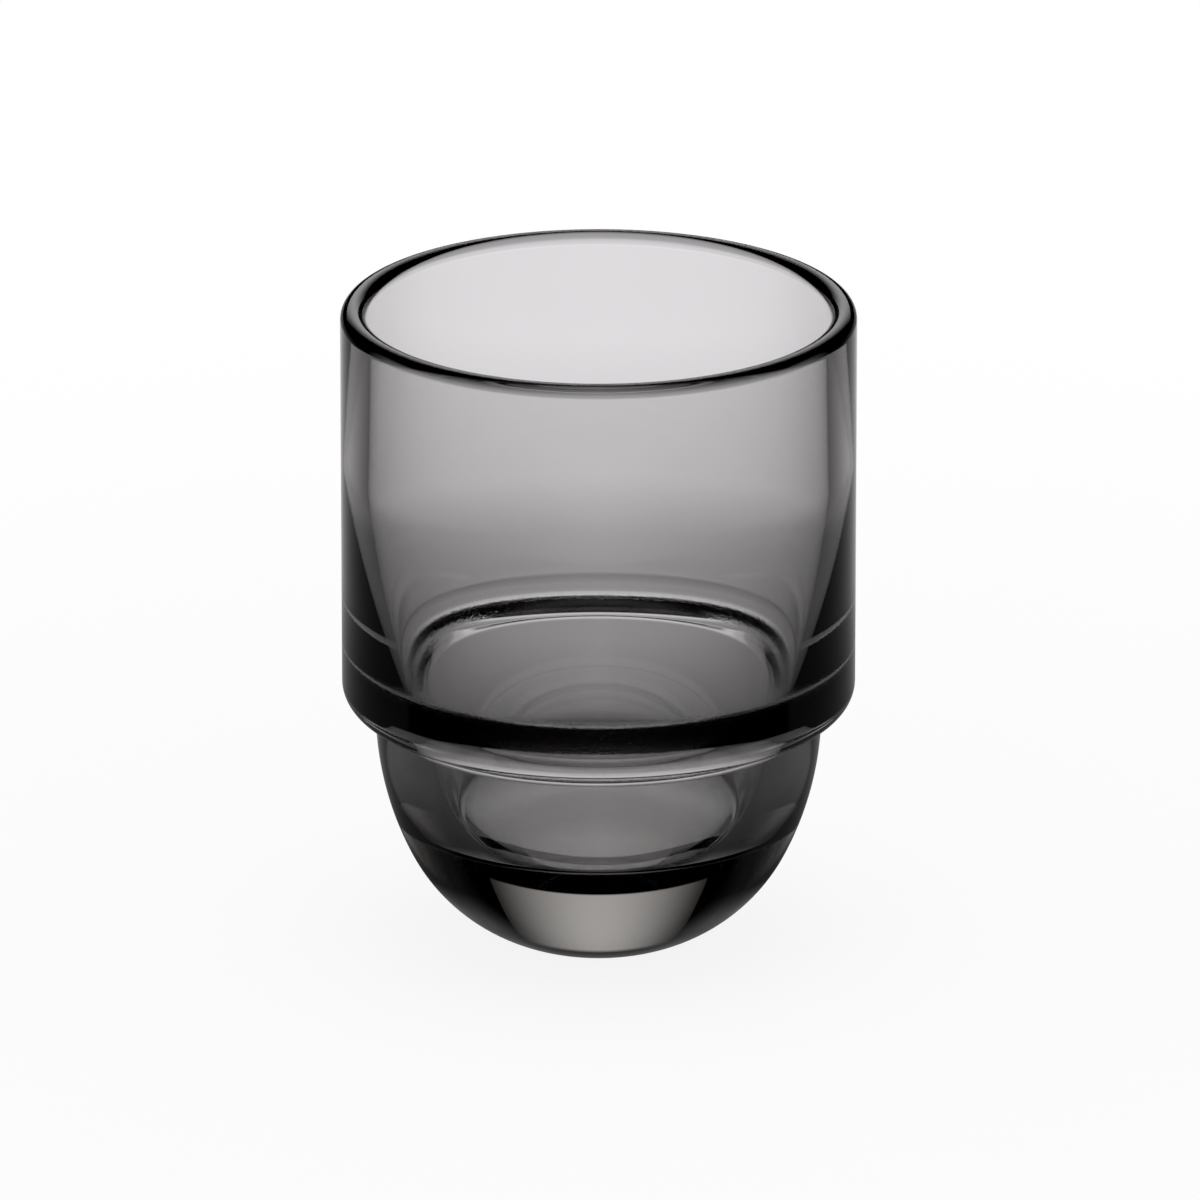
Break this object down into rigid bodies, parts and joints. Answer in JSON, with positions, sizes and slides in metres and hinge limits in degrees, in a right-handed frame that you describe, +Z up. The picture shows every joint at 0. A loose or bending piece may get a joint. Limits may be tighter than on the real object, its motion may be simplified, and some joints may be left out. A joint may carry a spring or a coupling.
{
  "type": "cortado glass",
  "caption": "Small stacking drinking glass for short milk coffee: straight bowl, rounded ledge, narrower rounded foot with a flat base, and a fully rounded rim.",
  "frame": {"origin": "middle of the flat base, on the table that the glass stands on", "axes": "+Z up along the axis of revolution, from the base to the open rim; the glass is round, so +X and +Y are free"},
  "size_m": [0.066, 0.066, 0.0848],
  "materials": {
    "pressed_glass": "gloss"
  },
  "bodies": {
    "root": {"glass_body": "pressed_glass"}
  },
  "joints": []
}
